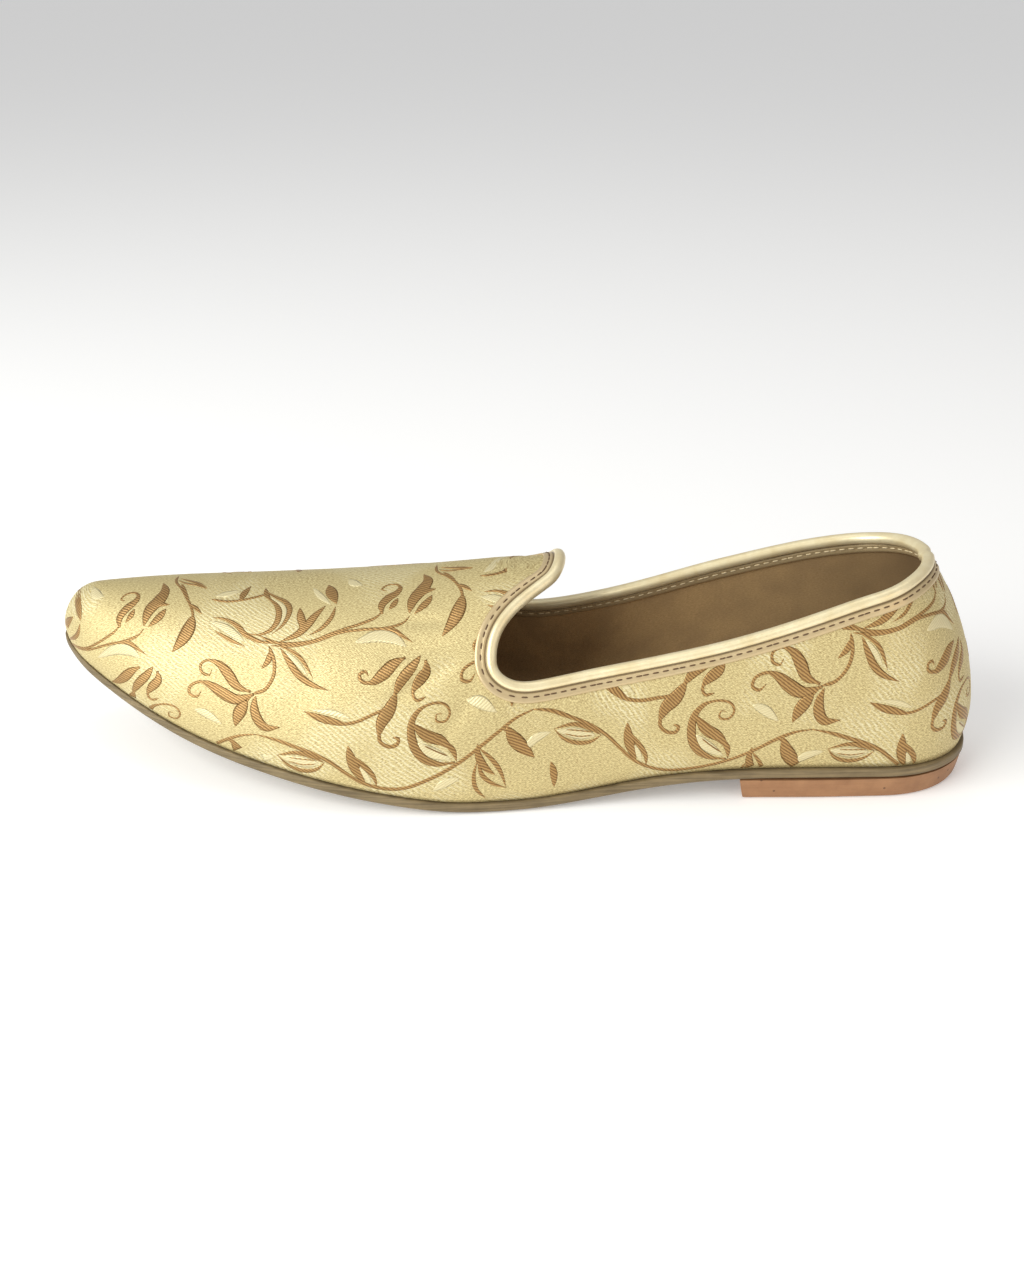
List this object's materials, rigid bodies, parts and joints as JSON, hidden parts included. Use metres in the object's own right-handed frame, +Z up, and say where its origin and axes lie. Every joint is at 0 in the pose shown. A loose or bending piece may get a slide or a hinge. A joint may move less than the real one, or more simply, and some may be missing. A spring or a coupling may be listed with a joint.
{
  "type": "mojari shoe",
  "caption": "Left slip-on mojari of vine-pattern brocade with a bound tongue-shaped throat, pointed raised toe, thin leather sole and low heel block.",
  "frame": {"origin": "on the floor under the middle of the shoe's bounding box", "axes": "+X from toe to heel, -X the toe; -Y the lateral side and +Y the medial side of a left shoe; +Z up"},
  "size_m": [0.2928, 0.0898, 0.0712],
  "materials": {
    "brocade": "woven metallic brocade, satin sheen",
    "binding": "pale gold leatherette, satin",
    "sole_leather": "raw edge, matt",
    "heel_leather": "smooth tan, satin",
    "insole": "plain, matt",
    "lining": "fine twill, matt",
    "thread": "waxed thread, satin"
  },
  "bodies": {
    "root": {"upper": "brocade", "collar_binding": "binding", "outsole": "sole_leather", "heel_block": "heel_leather", "insole": "insole"}
  },
  "joints": []
}
